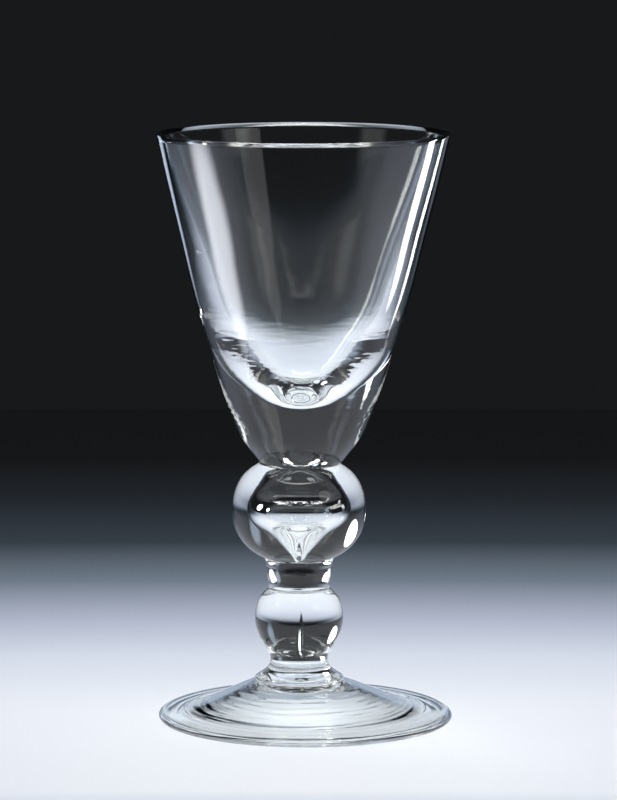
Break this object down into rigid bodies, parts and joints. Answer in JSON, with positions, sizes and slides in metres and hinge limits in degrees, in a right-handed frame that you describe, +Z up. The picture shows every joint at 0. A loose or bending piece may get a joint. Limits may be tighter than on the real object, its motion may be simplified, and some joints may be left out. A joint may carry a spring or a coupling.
{
  "type": "drinking glass",
  "caption": "Heavy baluster drinking glass: round funnel bowl on a wide knop with a broad, pointed air tear, a collar, a small knop with a spindle tear, and a conical foot with a folded rim.",
  "frame": {"origin": "centre of the plane that the foot rests on", "axes": "+Z up along the glass's axis, from the foot to the rim; X and Y are level, and the stem stands 1.9 mm towards -X from the foot's centre"},
  "size_m": [0.0813, 0.0812, 0.162],
  "materials": {
    "lead_glass": "fire-polished, clear"
  },
  "bodies": {
    "root": {"bowl": "lead_glass", "upper_knop": "lead_glass", "neck_collar": "lead_glass", "lower_knop": "lead_glass", "foot_collar": "lead_glass", "foot": "lead_glass"}
  },
  "joints": []
}
